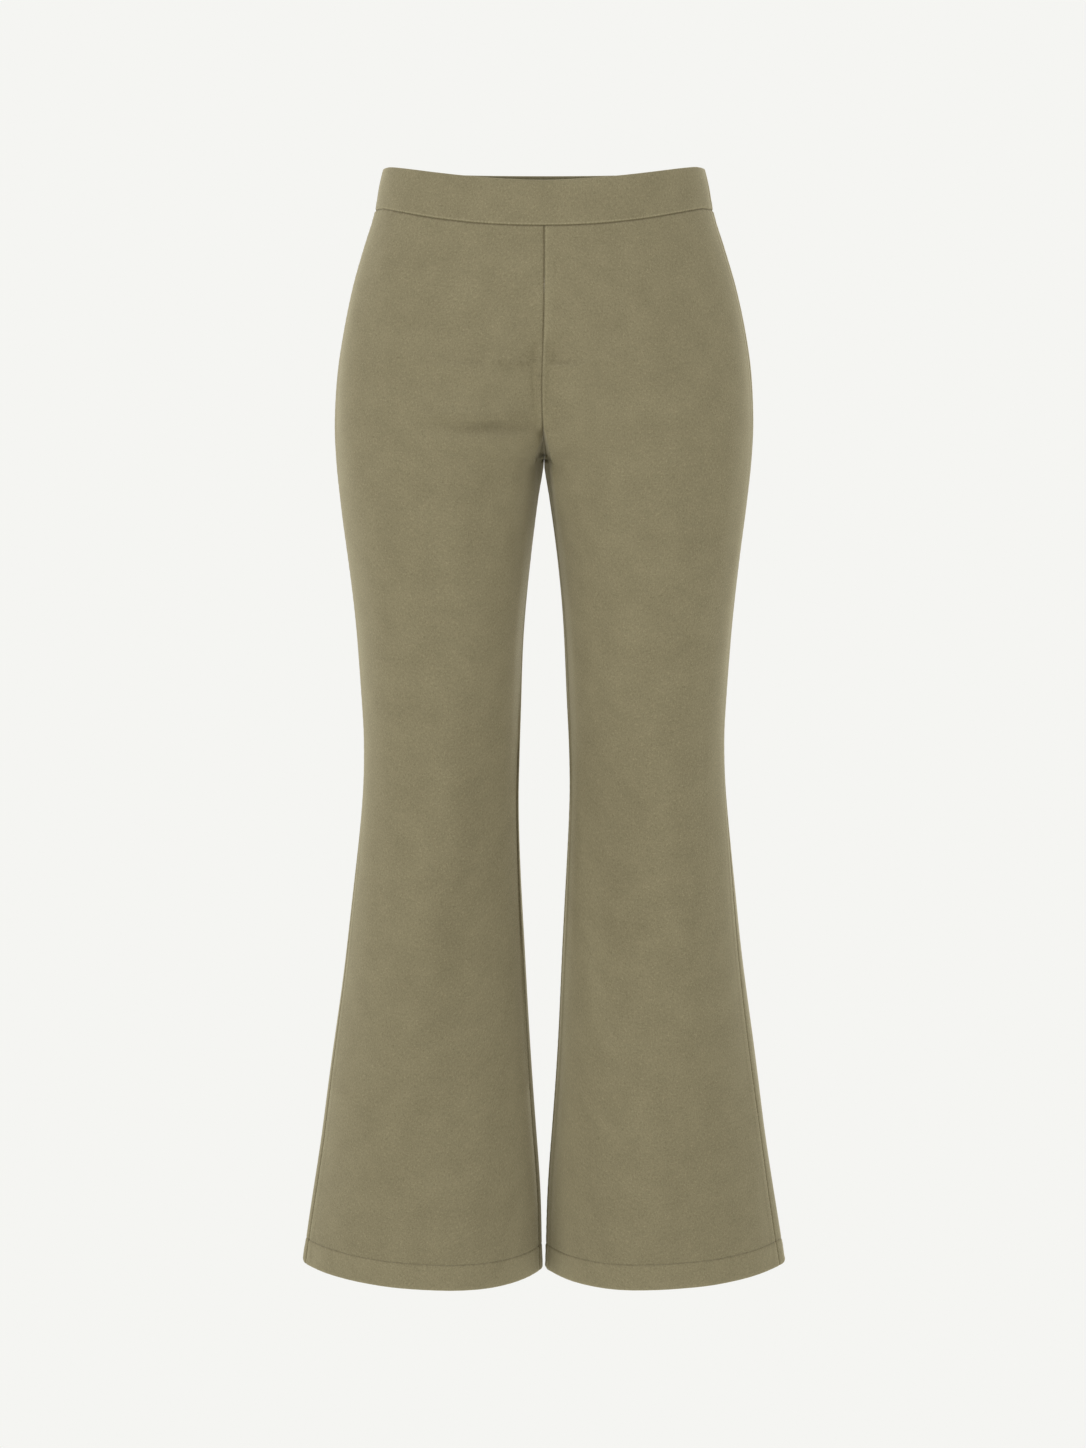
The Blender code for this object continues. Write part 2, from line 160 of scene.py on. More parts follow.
HEM_GROOVE = 0.00036  # under the hem's stitches
HEM_GROOVE_WIDTH = 0.0010
HEM_FOLD = 0.0012  # the height over which the doubled cloth starts
HEM_PUFF = 0.00025  # how far the turned-up hem stands out
HEM_ROPE = 0.00010  # the slight twist of a turned-up hem
HEM_ROPE_RIPPLE = Ripple(0.0125, 1.7, 47.0)
HEM_ROPE_SLANT = 0.6  # how far its waves lean
HEM_ROPE_END = 0.006  # it fades out over this distance from a seam
HEM_CLOSES = 0.98  # how nearly outside and inside meet at the hem's edge

STITCH_PITCH = 0.0040
STITCH_LENGTH = 0.0029
STITCH_RADIUS = 0.00026
STITCH_SIDES, STITCH_SLICES = 6, 5
STITCH_END = 0.06  # the share of a stitch at each end where it no longer gets thinner
STITCH_THINNEST = 0.55  # the share of its radius that is left there
STITCH_RISE, STITCH_SUNK = 1.5, 0.9  # in radii: how far it rises from its ends, which lie this far down
STITCH_LOOK = 0.0003  # how far ahead and behind its direction is taken

BAND_PUFF = 0.0011  # how far the waistband stands out at the middle of its height
BAND_INNER_GROOVE = 0.3  # the share of the seam groove that its inside has
BAND_WAVES = 0.4  # the share of the cloth's slow waves that it has
BAND_WAVES_FROM = 0.01  # the height over which they start

# -------- painted light and shade
# Painted light and shade: how much paler the cloth is painted, as a highlight, or darker below 0, as painted
# shade, strongest at a distance from a seam.
Highlight = namedtuple("Highlight", "paler at width")
REVERSE = 0.8  # the cloth's inside: paler as its unbrushed reverse, and partly painted light where it lies in shade
GROOVE_PAINTED_SHADE = 0.9  # painted shade: how much darker it is down in a seam
GROOVE_SHADE = 0.0008  # how far from a seam the painted shade reaches
SIDE_SEAM_HIGHLIGHT = Highlight(0.5, 0.0018, 0.0012)  # a painted highlight on the raised edge beside a side seam
INNER_PAINTED_LIGHT = {"left": 0.32, "right": -0.05}  # painted light beside the centre seam and the inseam: a highlight on the wearer's left, faint painted shade on the right
# the line of the painted highlight beside the centre seam and the inseam
INNER_SEAM_HIGHLIGHT = Highlight(1.0, 0.0018, 0.0011)
INNER_ALLOWANCE_LIGHT = 0.35  # the share of it all over the allowance
INSEAM_PAINTED_LIGHT = {"left": 0.65, "right": 0.35}  # painted light along the lower inseam, lifting the shade that the other leg casts there
INSEAM_LIGHT_WIDTH = 0.040
INSEAM_LIGHT_TOP = 0.36  # where it starts above the hem
INSEAM_LIGHT_RISE = 0.26  # and the height over which it grows
# a painted highlight on the turned-up hem
TURN_UP_HIGHLIGHT = 0.16
HEM_LINE_SHADE, HEM_PIT_SHADE = 0.12, 0.45  # painted shade under the hem's stitches, and at its small pits
HEM_PITS = Ripple(0.0047, 1.5, 53.0)
HEM_PIT_WIDTH = 0.0006
# a painted highlight on the hem's rolled edge
HEM_EDGE_HIGHLIGHT = Highlight(0.3, 0.0, 0.0025)
BAND_EDGE_HIGHLIGHT = Highlight(1.4, 0.0014, 0.0006)  # a painted highlight in small loops along the waistband's lower edge
BAND_DASHES = Ripple(0.0036, 1.0, 90.0)
BAND_DASH_SHARE = 0.35  # how much they come and go along it

# Where each panel was cut from the cloth, along the weave: apart, so that no two have the same unevenness.
PANEL_STARTS = {("left", "front"): 0.0, ("right", "front"): 2.0, ("left", "back"): 4.0,
                ("right", "back"): 6.0}

# -------- creases
# Each runs through a few points (x, drop). depth is above 0 for a trough and below 0 for a ridge. above and
# below are its widths on the side of smaller and larger drop, or of larger and smaller |x|.
Crease = namedtuple("Crease", "face path depth above below")
CREASES = [
    # the short sharp crease that runs from the crotch across the wearer's right thigh, and the roll below it
    Crease("front", ((0.018, 0.235), (-0.030, 0.2362), (-0.055, 0.238), (-0.080, 0.2374), (-0.112, 0.2376)),
           0.0054, 0.005, 0.007),
    Crease("front", ((0.010, 0.250), (-0.020, 0.250), (-0.040, 0.2485), (-0.082, 0.244)),
           -0.0028, 0.0055, 0.010),
    Crease("front", ((-0.016, 0.270), (-0.036, 0.260)), 0.001, 0.0045, 0.006),
    Crease("front", ((-0.008, 0.214), (-0.068, 0.205), (-0.108, 0.193), (-0.142, 0.183)),
           0.0024, 0.0075, 0.014),
    Crease("front", ((-0.118, 0.301), (-0.162, 0.294)), 0.0014, 0.008, 0.011),
    # the hollow beside the centre seam on that side, and the fuller thighs next to the crotch
    Crease("front", ((-0.004, 0.150), (-0.004, 0.200), (-0.007, 0.248)), 0.0074, 0.029, 0.016),
    Crease("front", ((0.012, 0.228), (0.013, 0.265), (0.024, 0.325)), -0.004, 0.015, 0.015),
    Crease("front", ((-0.018, 0.250), (-0.020, 0.280), (-0.030, 0.330)), -0.006, 0.013, 0.013),
    # the long soft valleys from inside each knee down and outwards, and a faint one at the thigh
    Crease("front", ((-0.036, 0.460), (-0.046, 0.560), (-0.056, 0.660), (-0.070, 0.735), (-0.090, 0.860)),
           0.0105, 0.026, 0.060),
    Crease("front", ((-0.066, 0.660), (-0.072, 0.800), (-0.072, 1.0100)), 0.007, 0.030, 0.050),
    Crease("front", ((0.034, 0.470), (0.045, 0.560), (0.053, 0.640), (0.058, 0.700), (0.074, 0.760),
                     (0.094, 0.880)), 0.0185, 0.034, 0.020),
    Crease("front", ((0.150, 0.250), (0.152, 0.325), (0.152, 0.410)), 0.0026, 0.015, 0.020),
    # their like behind: under the seat, inside the knees and across them
    Crease("back", ((-0.008, 0.288), (-0.050, 0.293), (-0.115, 0.286)), 0.005, 0.011, 0.018),
    Crease("back", ((0.010, 0.294), (0.060, 0.300), (0.125, 0.301)), 0.0042, 0.012, 0.020),
    Crease("back", ((0.030, 0.330), (0.080, 0.342), (0.130, 0.338)), 0.002, 0.011, 0.017),
    Crease("back", ((-0.040, 0.520), (-0.066, 0.620), (-0.090, 0.760)), 0.008, 0.026, 0.032),
    Crease("back", ((0.038, 0.500), (0.060, 0.610), (0.088, 0.790)), 0.0084, 0.028, 0.026),
    Crease("back", ((-0.050, 0.545), (-0.105, 0.560), (-0.140, 0.550)), 0.0022, 0.013, 0.022),
    Crease("back", ((0.046, 0.560), (0.096, 0.578), (0.136, 0.570)), 0.0024, 0.015, 0.024),
]
CREASE_LIP = 0.25  # the soft swelling beside a trough, as a share of its depth
CREASE_LIP_AT = 2.1  # how many widths away it lies
CREASE_LIP_SPREAD = 0.8
CREASE_POINTS = 24  # short straight pieces in a crease
CREASE_TAPER = 0.30  # the share of its length over which it rises at each end
CALM_NEAR_SEAM = 0.016  # creases fade out over this distance from a seam
SEAM_TURN = 0.0070  # how far from a seam the cloth's way out starts to turn to that of the seam

# How far forward the front's cloth hangs near the inseam, which keeps a leg flat almost to its inner edge.
Fullness = namedtuple("Fullness", "drop left right")
INNER_FULLNESS = [Fullness(*row) for row in (
    (0.268, 0.0000, 0.0000),
    (0.300, 0.0085, 0.0040),
    (0.400, 0.0085, 0.0050),
    (0.550, 0.0040, 0.0030),
    (0.700, 0.0030, 0.0015),
    (0.960, 0.0070, 0.0050),
    (1.040, 0.0000, 0.0000),
)]
FULL_FROM, FULL_AT = 0.001, 0.008  # where it starts and where it is full, inwards from a leg's innermost line
FULL_REACH = 0.026  # and how far it goes on

# The front's centre seam isn't quite straight: it wanders to the wearer's right in its lower half.
WANDER = 0.0022
WANDER_FROM = 0.070
WANDER_LATE = 1.8  # above 1 where it goes furthest in the lower half
WANDER_REACH = 0.030  # how far from the seam the cloth goes with it

# The deep hollow at the crotch, between the thighs' crisp edges: how far these lie from the middle plane, and
# how far forward the cloth beside them hangs.
Hollow = namedtuple("Hollow", "drop left right left_forward right_forward")
HOLLOW = [Hollow(*row) for row in (
    (0.2400, 0.0000, 0.0000, 0.000, 0.000),
    (0.2500, 0.0018, 0.0012, 0.010, 0.000),
    (0.2620, 0.0036, 0.0050, 0.018, 0.003),
    (0.2710, 0.0048, 0.0060, 0.023, 0.004),
    (0.2950, 0.0068, 0.0064, 0.024, 0.004),
    (0.3300, 0.0112, 0.0100, 0.010, 0.002),
    (0.3700, 0.0150, 0.0140, 0.000, 0.000),
)]
HOLLOW_DEPTH = 0.015
HOLLOW_TURN = 0.0016  # how wide its edges are
HOLLOW_LIP = 0.012  # how far the cloth beside it is swollen
HOLLOW_END = 0.006  # the height above the crotch over which it ends

# Slow waves that keep the cloth from looking turned on a lathe.
WAVES = 26
WAVE_HEIGHT = 0.00042
WAVE_ACROSS = (0.045, 0.160)  # wavelengths round the leg
WAVE_DOWN = (0.140, 0.500)  # and down it
WAVE_FROM = 0.05  # the height below the waist seam over which they start
WAVE_SEED = 7

# -------- the cloth's surface
WEAVE_ANGLE = math.radians(63)
CLOUD_SCALE, NAP_SCALE, FIBRE_SCALE, WEAVE_SCALE = 38.0, 370.0, 900.0, 300.0
FIBRE_STRETCH = (1.0, 0.35, 1.0)
# Curls of fibre: how thin they are, and at what scale and how much they are broken up.
CURL_THIN = 13.0
CURL_BREAK_SCALE = 1.3
CURL_KEPT, CURL_BROKEN = 5.0, 2.1
Curls = namedtuple("Curls", "scale shift")
PALE_CURLS, DARK_CURLS = Curls(400.0, 0.0), Curls(430.0, 3.1)
SHADE_START = -0.01  # what the shares of paleness are added to
DARK_OLIVE = (0.124, 0.103, 0.055, 1.0)
OLIVE_AT, OLIVE = 0.38, (0.252, 0.220, 0.1235, 1.0)
PALE_OLIVE_AT, PALE_OLIVE = 0.80, (0.342, 0.303, 0.180, 1.0)
CLOTH_SHADER = {"Roughness": 0.92, "Specular IOR Level": 0.25, "Sheen Weight": 0.80, "Sheen Roughness": 0.38,
                "Sheen Tint": (0.92, 0.84, 0.60, 1.0)}
# The thread is a little darker than the cloth, partly as painted shade of its stitches.
THREAD_SHADER = {"Base Color": (0.180, 0.156, 0.094, 1.0), "Roughness": 0.7}

# -------- camera and light
CAMERA_AT = (-0.0011, -2.9, -0.2034)
CAMERA_PITCH = math.radians(6.297)  # looking down
CAMERA_LENS = 76.0
CAMERA_REACH = 60.0
Light = namedtuple("Light", "name at size watts")
LIGHTS = [
    Light("left_front", (-2.2, -2.5, -0.5), (0.9, 2.2), 16.0),
    Light("left_side", (-2.4, -1.4, -0.3), (0.9, 2.2), 24.5),
    Light("left_rim", (-2.0, 1.2, -0.3), (0.9, 2.2), 9.0),
    Light("right_front", (2.2, -2.5, -0.5), (0.9, 2.2), 15.5),
    Light("right_side", (2.4, -1.4, -0.3), (0.9, 2.2), 14.3),
    Light("top", (0.0, -0.8, 2.4), (2.0, 2.0), 29.8),
    Light("back", (0.6, 2.8, 0.1), (1.6, 2.2), 28.0),
]
LIGHT_TINT = (0.994, 1.0, 1.06)
LIGHTS_AIM = (0.0, 0.0, -0.5)
WORLD_LIGHT = 0.36
WORLD_TINT = (1.0, 0.99, 0.91, 1.0)
FLOOR_LEVEL = -1.075
FLOOR_REACH = 14.0
BACKDROP = (0.913, 0.913, 0.888, 1.0)  # the pale ground of the photo


# -------- reading the tables
def mix(a, b, share):
    return a + (b - a) * share


def ease(share):
    """A soft rise from 0, at a share of 0 and below, to 1, at a share of 1 and above."""
    share = np.clip(share, 0.0, 1.0)
    return share * share * (3 - 2 * share)


def bump(distance, width):
    return np.exp(-((distance / width) ** 2))


def read(table, name, drop):
    """A column of a table at some drops, on a smooth curve through its rows."""
    at = np.array([row.drop for row in table])
    value = np.array([getattr(row, name) for row in table])
    index = np.arange(len(at))
    low, high = np.maximum(index - 1, 0), np.minimum(index + 1, len(at) - 1)
    slope = (value[high] - value[low]) / (at[high] - at[low])
    drop = np.clip(drop, at[0], at[-1])
    i = np.clip(np.searchsorted(at, drop, side="right") - 1, 0, len(at) - 2)
    step = at[i + 1] - at[i]
    s = (drop - at[i]) / step
    return curve(value[i], value[i + 1], slope[i] * step, slope[i + 1] * step, s)


def curve(a, b, slope_a, slope_b, s):
    """A smooth curve from a, where s is 0, to b, where s is 1, that leaves and arrives with these slopes."""
    return (
        a * (1 + 2 * s) * (1 - s) ** 2
        + slope_a * s * (1 - s) ** 2
        + b * s * s * (3 - 2 * s)
        + slope_b * s * s * (s - 1)
    )


# -------- the form of the garment
def split(drop, front):
    """0 where both legs share one smooth front or back, rising to 1 at the crotch."""
    start = np.where(front, RISES["front"].start, RISES["back"].start)
    bend = np.where(front, RISES["front"].bend, RISES["back"].bend)
    return np.clip((drop - start) / (CROTCH - start), 0.0, 1.0) ** bend


def surface_points(leg, drop, angle):
    """Points of the cloth's outer surface. angle goes round a leg from its outermost line, 0, over the front,
    above 0, or the back, below 0, to its inner side or to the garment's middle plane, at half a turn."""
    drop, angle = np.broadcast_arrays(np.asarray(drop, float), np.asarray(angle, float))
    angle = np.where(angle < -math.pi, angle + 2 * math.pi, angle)
    front = angle >= 0
    turn = np.abs(angle)
    outer, apex = read(SECTIONS, "outer", drop), read(SECTIONS, "apex", drop)
    end = np.where(drop >= CROTCH, read(SECTIONS, "inner", drop), 0.0)
    arc = np.arcsin(np.clip(split(drop, front), SMALLEST_SPLIT, 1.0))
    inward = np.sin(np.clip(turn / (math.pi / 2) - 1, 0.0, 1.0) * arc) / np.sin(arc)
    outward = np.cos(np.minimum(turn, math.pi / 2))
    reach = RISE_REACH * (1 - inward)
    eased = sum(split(drop + s * reach, front) for s in RISE_SHARES) / len(RISE_SHARES)
    outside = turn <= math.pi / 2
    x = np.where(outside, mix(apex, outer, outward), mix(apex, end, inward))
    held = np.where(outside, outward, inward * eased)
    depth = np.where(front, read(SECTIONS, "front", drop), read(SECTIONS, "back", drop))
    y = depth * np.maximum(1 - held**FLATNESS, 0.0) ** (1 / read(SECTIONS, "fullness", drop))
    return np.stack([SIDES[leg] * x, np.where(front, -y, y), -drop], -1)


def seam_angle(leg, which, drop):
    """The angle that lies a seam's distance forward of a leg's outermost or innermost line."""
    inwards = np.maximum(read(SEAMS, f"{leg}_{which}", drop), 0.0)
    edge = read(SECTIONS, "outer" if which == "out" else "inner", drop)
    reach = np.maximum(np.abs(edge - read(SECTIONS, "apex", drop)), TINY)
    return np.arccos(1 - np.minimum(inwards / reach, 1.0))


def across(drop, x, bend=2.0):
    """1 at the middle plane and 0 at the outermost line."""
    return 1 - np.minimum(np.abs(x) / read(SECTIONS, "outer", drop), 1.0) ** bend


def waist_seam(angle, x):
    return BAND_DEPTH + np.where(angle > 0, SEAM_DIP * across(BAND_DEPTH, x, SEAM_BEND), 0.0)


def band_top(angle, x):
    return BAND_ROLL + np.where(angle > 0, BAND_DIP * across(0.0, x), 0.0)


def crotch_level(angle):
    return mix(CROTCH_SIDE, CROTCH, ease(np.abs(angle) / math.pi))


def hem_level(angle):
    turn = np.abs(angle)
    dip = np.where(angle > 0, -HEM_FRONT_LIFT, HEM_BACK_DIP)
    return mix(HEM_SIDE, HEM_INSEAM, ease(turn / math.pi)) + dip * np.sin(turn) ** 2


def rise_level(share, angle, x):
    """The drop of a row between the lines beside the waist seam, share 0, and the crotch, share 1. Near the
    middle the rows lie closer together towards the crotch."""
    eased = mix(share, 1 - (1 - share) ** 2, 1 - ease(np.abs(x) / CLOSER_ROWS))
    return mix(waist_seam(angle, x) + EDGE_STEPS[-1], crotch_level(angle), eased)


def leg_level(share, angle):
    """The drop of a row between the crotch, share 0, and the hem's own lines, share 1."""
    return mix(crotch_level(angle), hem_level(angle) - HEM_START, share)


def row_points(leg, face, drop_at, spacing):
    """Points along a row from the side seam to the centre seam or the inseam. spacing gives their distances
    along it for its length."""
    share = np.linspace(0.0, 1.0, SAMPLES)
    rough_angle = FACES[face] * math.pi * share
    rough = surface_points(leg, drop_at(rough_angle, 0.0), rough_angle)
    drop = drop_at(rough_angle, rough[:, 0])
    first = seam_angle(leg, "out", drop)
    last = math.pi - np.where(drop >= CROTCH, seam_angle(leg, "in", drop), 0.0)
    if face == "back":
        last = last - 2 * math.pi
    line = surface_points(leg, drop, mix(first, last, share))
    length = length_along(line)
    at = spacing(length[-1])
    return np.stack([np.interp(at, length, line[:, k]) for k in range(3)], -1)


def length_along(line):
    """How far each point of a line is from its first one, along the line."""
    return np.concatenate([[0.0], np.cumsum(np.linalg.norm(np.diff(line, axis=0), axis=1))])


def panel_spacing(length):
    edge = np.array(EDGE_STEPS)
    middle = np.linspace(edge[-1], length - edge[-1], PANEL_COLUMNS + 1)[1:-1]
    return np.concatenate([edge, middle, length - edge[::-1]])


def panel_grid(leg, face):
    """The outer surface of a panel, before its folds: rows from the waist seam to the hem's edge."""
    rows = []
    for down in EDGE_STEPS:
        rows.append(lambda angle, x, down=down: waist_seam(angle, x) + down)
    for share in np.linspace(0.0, 1.0, RISE_ROWS + 1)[1:-1]:
        rows.append(lambda angle, x, share=share: rise_level(share, angle, x))
    crotch_row = len(rows)
    for share in np.linspace(0.0, 1.0, LEG_ROWS + 1):
        rows.append(lambda angle, x, share=share: leg_level(share, angle))
    for up in HEM_STEPS:
        rows.append(lambda angle, x, up=up: hem_level(angle) - up)
    grid = np.stack([row_points(leg, face, row, panel_spacing) for row in rows])
    return grid, crotch_row


# -------- creases and waves
def smooth_path(points, count):
    """count points on a smooth curve through the given ones."""
    points = np.array(points, float)
    at = np.linspace(0, len(points) - 1, count)
    i = np.minimum(at.astype(int), len(points) - 2)
    before, after = points[np.maximum(i - 1, 0)], points[np.minimum(i + 2, len(points) - 1)]
    a, b = points[i], points[i + 1]
    return curve(a, b, (b - before) / 2, (after - a) / 2, (at - i)[:, None])


def crease_inward(crease, x, drop):
    """How far a crease presses points straight back into the leg."""
    path = smooth_path(crease.path, CREASE_POINTS + 1)
    here = np.stack([x, drop], -1)
    nearest = np.full(x.shape, np.inf)
    along, side = np.zeros(x.shape), np.zeros(x.shape)
    for k, (a, b) in enumerate(zip(path, path[1:])):
        run = b - a
        share = np.clip(((here - a) @ run) / (run @ run), 0.0, 1.0)
        away = here - (a + share[..., None] * run)
        distance = np.linalg.norm(away, axis=-1)
        closer = distance < nearest
        nearest = np.where(closer, distance, nearest)
        along = np.where(closer, (k + share) / CREASE_POINTS, along)
        below = -run[1] * away[..., 0] * np.sign(run[0] + TINY) + abs(run[0]) * away[..., 1]
        side = np.where(closer, below, side)
    widths = nearest / np.where(side < 0, crease.above, crease.below)
    ends = ease(along / CREASE_TAPER) * ease((1 - along) / CREASE_TAPER)
    lip = CREASE_LIP * np.exp(-((widths - CREASE_LIP_AT) ** 2) / CREASE_LIP_SPREAD)
    return crease.depth * ends * (bump(widths, 1.0) - lip)


def wave_outward(points):
    """Slow waves of the cloth, the same on both sides of every seam."""
    random = np.random.default_rng(WAVE_SEED)
    total = np.zeros(points.shape[:-1])
    for _ in range(WAVES):
        turn = random.uniform(0, 2 * math.pi)
        wave = 2 * math.pi / random.uniform(*WAVE_ACROSS)
        down = 2 * math.pi / random.uniform(*WAVE_DOWN) * random.choice((-1, 1))
        direction = np.array([wave * math.cos(turn), wave * math.sin(turn), down])
        total += np.sin(points @ direction + random.uniform(0, 2 * math.pi))
    return total * WAVE_HEIGHT / math.sqrt(WAVES / 2)


# -------- distances and ways out
def unit(vectors):
    return vectors / np.maximum(np.linalg.norm(vectors, axis=-1, keepdims=True), TINY)


def distances(grid, axis):
    """Distance along the grid from its first row or column, and from its last one."""
    steps = np.linalg.norm(np.diff(grid, axis=axis), axis=-1)
    gone = np.cumsum(steps, axis=axis)
    gone = np.insert(gone, 0, 0.0, axis=axis)
    whole = np.take(gone, [-1], axis=axis)
    return gone, whole - gone


def ways_out(grid, before, after, outward):
    """The way out of the cloth at each point of a grid. before and after are the neighbouring cloth's points
    next to the grid's first and last columns. Close to a seam the way out turns to the one that both its
    sides share."""
    line = np.concatenate([before[:, None], grid, after[:, None]], axis=1)
    steps = unit(np.diff(line, axis=1))
    ways = unit(np.cross(np.gradient(grid, axis=0), steps[:, :-1] + steps[:, 1:])) * outward
    from_first, from_last = distances(grid, 1)
    for distance, end in ((from_first, 0), (from_last, -1)):
        share = ease(distance / SEAM_TURN)[..., None]
        ways = unit(mix(ways[:, end][:, None], ways, share))
    return ways


def panel_ways(leg, face, grids, crotch_row):
    """The way out at each point of a panel. Above the crotch its last column meets the other leg's panel, and
    below it the same leg's other one. At the waist seam it is level."""
    grid, other = grids[face], grids[OTHER[face]]
    mirrored = grid[:crotch_row, -2] * np.array([-1.0, 1.0, 1.0])
    after = np.concatenate([mirrored, other[crotch_row:, -2]])
    ways = ways_out(grid, other[:, 1], after, -FACES[face] * SIDES[leg])
    level = ways * np.array([1.0, 1.0, 0.0])
    share = ease(distances(grid, 0)[0] / SEAM_TURN)[..., None]
    return unit(mix(unit(level), ways, share))


# -------- how the panels' cloth lies
def rounded_edge(distance, radius):
    """How far a surface lies below its own plane near an edge that is rounded with this radius."""
    into = np.clip(radius - distance, 0.0, radius)
    return radius - np.sqrt(np.maximum(radius**2 - into**2, 0.0))


def allowance(distance):
    """1 over the seam allowance beside a seam, and 0 past it."""
    return 1 - ease((distance - ALLOWANCE) / ALLOWANCE_END + 0.5)


def uneven_wave(ripple, along, shifted=0.0):
    turn = 2 * math.pi * (along + shifted) / ripple.pitch
    return np.sin(turn + ripple.drift * np.sin(along * ripple.often))


def seam_lift(distance, along, raised=ALLOWANCE_LIFT):
    """How far the cloth stands out beside a seam: a sharp groove, and the allowance that lies behind."""
    groove = bump(distance, SEAM_GROOVE_WIDTH)
    slope = mix(1 - ALLOWANCE_SLOPE, 1.0, ease(distance / ALLOWANCE))
    shoulder = raised * allowance(distance) * (1 - groove) * slope
    pucker = PUCKER * uneven_wave(PUCKER_RIPPLE, along) * bump(distance, PUCKER_REACH)
    return shoulder - SEAM_GROOVE * groove + pucker


def hem_lift(from_hem, along, from_seam):
    """The turned-up hem's outside: a groove under its stitches, a slight puff below it and a rolled edge."""
    above = from_hem - HEM_TURN_UP
    twist = uneven_wave(HEM_ROPE_RIPPLE, along, HEM_ROPE_SLANT * from_hem)
    rope = HEM_ROPE * twist * ease(from_seam / HEM_ROPE_END)
    puff = ease(-above / HEM_FOLD) * (HEM_PUFF + rope)
    return puff - HEM_GROOVE * bump(above, HEM_GROOVE_WIDTH) - rounded_edge(from_hem, HEM_WALL / 2)


def panel_wall(from_side, from_inner, from_waist, from_hem):
    """The thickness of a panel, with its seam allowances and its turned-up hem."""
    nearest = np.minimum(np.minimum(from_side, from_inner), from_waist)
    wall = CLOTH + ALLOWANCE_THICK * allowance(nearest)
    in_hem = ease((HEM_TURN_UP - from_hem) / HEM_FOLD)
    wall = mix(wall, np.maximum(wall, HEM_WALL), in_hem)
    return wall - 2 * rounded_edge(from_hem, HEM_WALL / 2) * wall / HEM_WALL * HEM_CLOSES


def panel_creases(face, grid, from_side, from_inner, from_waist, from_hem):
    """How far all the creases of a panel press its points straight back."""
    calm = ease(from_side / CALM_NEAR_SEAM) * ease(from_inner / (CALM_NEAR_SEAM / 2))
    calm *= ease(from_waist / CALM_NEAR_SEAM) * ease(from_hem / (2 * HEM_TURN_UP))
    inwards = np.zeros(grid.shape[:2])
    for crease in CREASES:
        if crease.face == face:
            inwards += crease_inward(crease, grid[..., 0], -grid[..., 2])
    return inwards * calm


def inner_fullness(leg, points):
    """Moves points near the inseam of the front forward."""
    drop = -points[..., 2]
    forward = read(INNER_FULLNESS, leg, drop)
    inwards = np.abs(points[..., 0]) - read(SECTIONS, "inner", drop)
    rise = ease((inwards - FULL_FROM) / (FULL_AT - FULL_FROM))
    points[..., 1] -= forward * rise * bump(np.maximum(inwards - FULL_AT, 0.0), FULL_REACH)


def crotch_hollow(leg, points):
    """Moves points of the front back into the deep hollow at the crotch, and forward beside it."""
    drop = -points[..., 2]
    beyond = np.abs(points[..., 0]) - read(HOLLOW, leg, drop)
    deep = HOLLOW_DEPTH * ease(-beyond / HOLLOW_TURN) * ease((CROTCH - drop) / HOLLOW_END)
    swell = ease(beyond / HOLLOW_TURN) * np.exp(-np.maximum(beyond, 0.0) / HOLLOW_LIP)
    points[..., 1] += deep - read(HOLLOW, f"{leg}_forward", drop) * swell


def wander(points):
    """Moves points beside the front's centre seam sideways."""
    drop, near = -points[..., 2], bump(points[..., 0], WANDER_REACH)
    share = np.clip((drop - WANDER_FROM) / (CROTCH - WANDER_FROM), 0.0, 1.0)
    points[..., 0] -= WANDER * near * np.sin(math.pi * share**WANDER_LATE) ** 2


def hem_corners(points, from_hem):
    """Lifts the hem a little where it turns from the front to the back."""
    drop, away = -points[..., 2], np.abs(points[..., 0])
    from_turn = np.minimum(read(SECTIONS, "outer", drop) - away, away - read(SECTIONS, "inner", drop))
    lift = rounded_edge(np.maximum(from_turn, 0.0), HEM_CORNER)
    points[..., 2] += lift * ease(1 - from_hem / HEM_CORNER_REACH)


# A painted highlight at a distance from a seam.
def painted_highlight(highlight, distance):
    return highlight.paler * bump(distance - highlight.at, highlight.width)


def panel_painted_light(leg, face, from_side, from_inner, from_waist, from_hem):
    """Painted light: above 0 for painted highlights on the cloth's raised edges, along the inseam and on the
    hem, and below 0 for painted shade down in its seams and under the hem's stitches.
    """
    painted_light_and_reverse = np.zeros(from_side.shape)
    for distance in (from_side, from_inner, from_waist):
        painted_light_and_reverse -= GROOVE_PAINTED_SHADE * bump(distance, GROOVE_SHADE)
    if face == "front":
        painted_light_and_reverse += painted_highlight(SIDE_SEAM_HIGHLIGHT, from_side)
    beside = painted_highlight(INNER_SEAM_HIGHLIGHT, from_inner) + INNER_ALLOWANCE_LIGHT * allowance(from_inner)
    painted_light_and_reverse += INNER_PAINTED_LIGHT[leg] * beside
    low = ease((INSEAM_LIGHT_TOP - from_hem) / INSEAM_LIGHT_RISE)
    painted_light_and_reverse += INSEAM_PAINTED_LIGHT[leg] * bump(from_inner, INSEAM_LIGHT_WIDTH) * low
    above = from_hem - HEM_TURN_UP
    pits = 0.5 + 0.5 * uneven_wave(HEM_PITS, from_side)
    painted_light_and_reverse += TURN_UP_HIGHLIGHT * ease(-above / HEM_FOLD)
    painted_light_and_reverse -= (HEM_LINE_SHADE + HEM_PIT_SHADE * pits) * bump(above, HEM_PIT_WIDTH)
    return painted_light_and_reverse + painted_highlight(HEM_EDGE_HIGHLIGHT, from_hem)


# -------- meshes
def link(made):
    bpy.context.scene.collection.objects.link(made)
    return made


def add_object(name, points, faces):
    """A new object, smoothly shaded, in the scene."""
    mesh = bpy.data.meshes.new(name)
    mesh.from_pydata(points, [], faces)
    mesh.shade_smooth()
    return link(bpy.data.objects.new(name, mesh))


